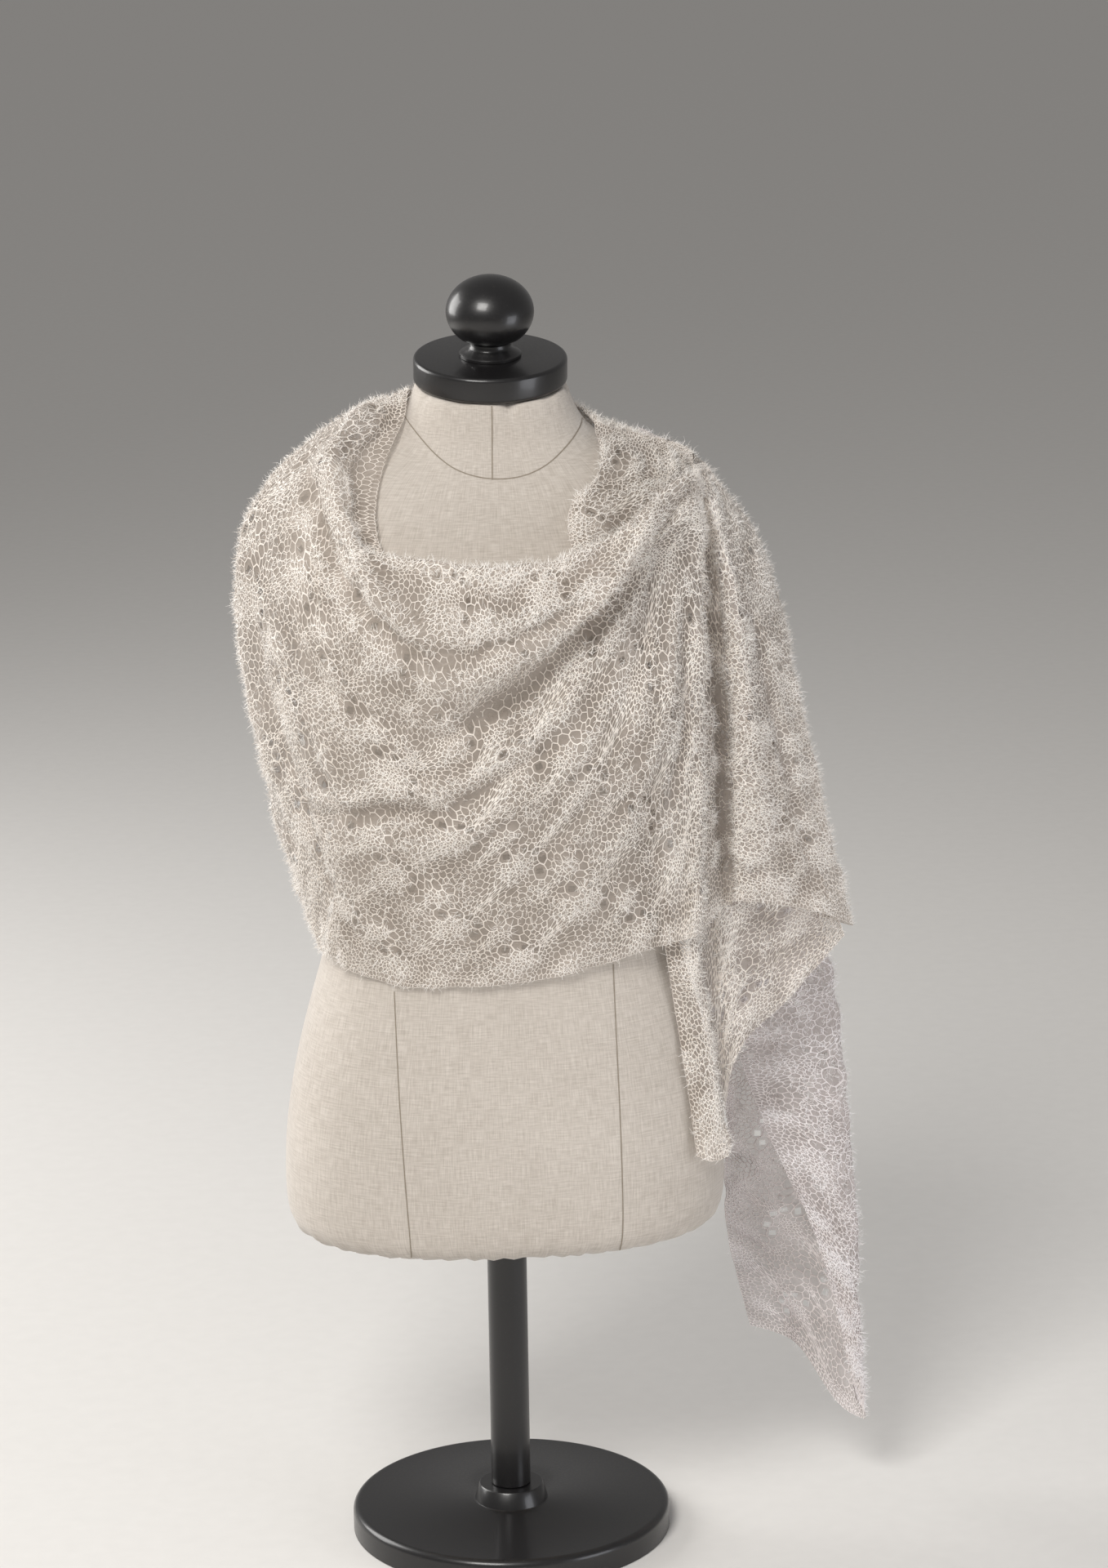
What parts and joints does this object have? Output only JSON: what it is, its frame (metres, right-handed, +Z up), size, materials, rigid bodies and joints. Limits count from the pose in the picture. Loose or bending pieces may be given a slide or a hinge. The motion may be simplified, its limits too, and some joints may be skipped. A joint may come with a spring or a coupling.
{
  "type": "lace shawl on a dress form",
  "caption": "Knitted mohair lace shawl wound round a limbless linen dress form on a round base: a rolled cowl across the chest, a drape over the shoulder and a long hanging end.",
  "frame": {"origin": "centre of the base's underside, on the stand's axis, where it stands on the floor", "axes": "+Z up along the stand; -Y towards the form's front; +X towards its left shoulder"},
  "size_m": [0.5047, 0.3002, 1.0311],
  "materials": {
    "mohair_lace": "hand-knitted brushed mohair lace, matt, with a soft halo",
    "linen_cover": "plain-woven natural linen, matt",
    "black_wood": "turned beech, satin black lacquer"
  },
  "bodies": {
    "root": {"first_end": "mohair_lace", "back_wrap": "mohair_lace", "front_panel": "mohair_lace", "shoulder_drape": "mohair_lace", "back_tail": "mohair_lace", "form_body": "linen_cover", "neck_cap": "black_wood", "finial": "black_wood", "stand_pole": "black_wood", "stand_base": "black_wood"}
  },
  "joints": []
}
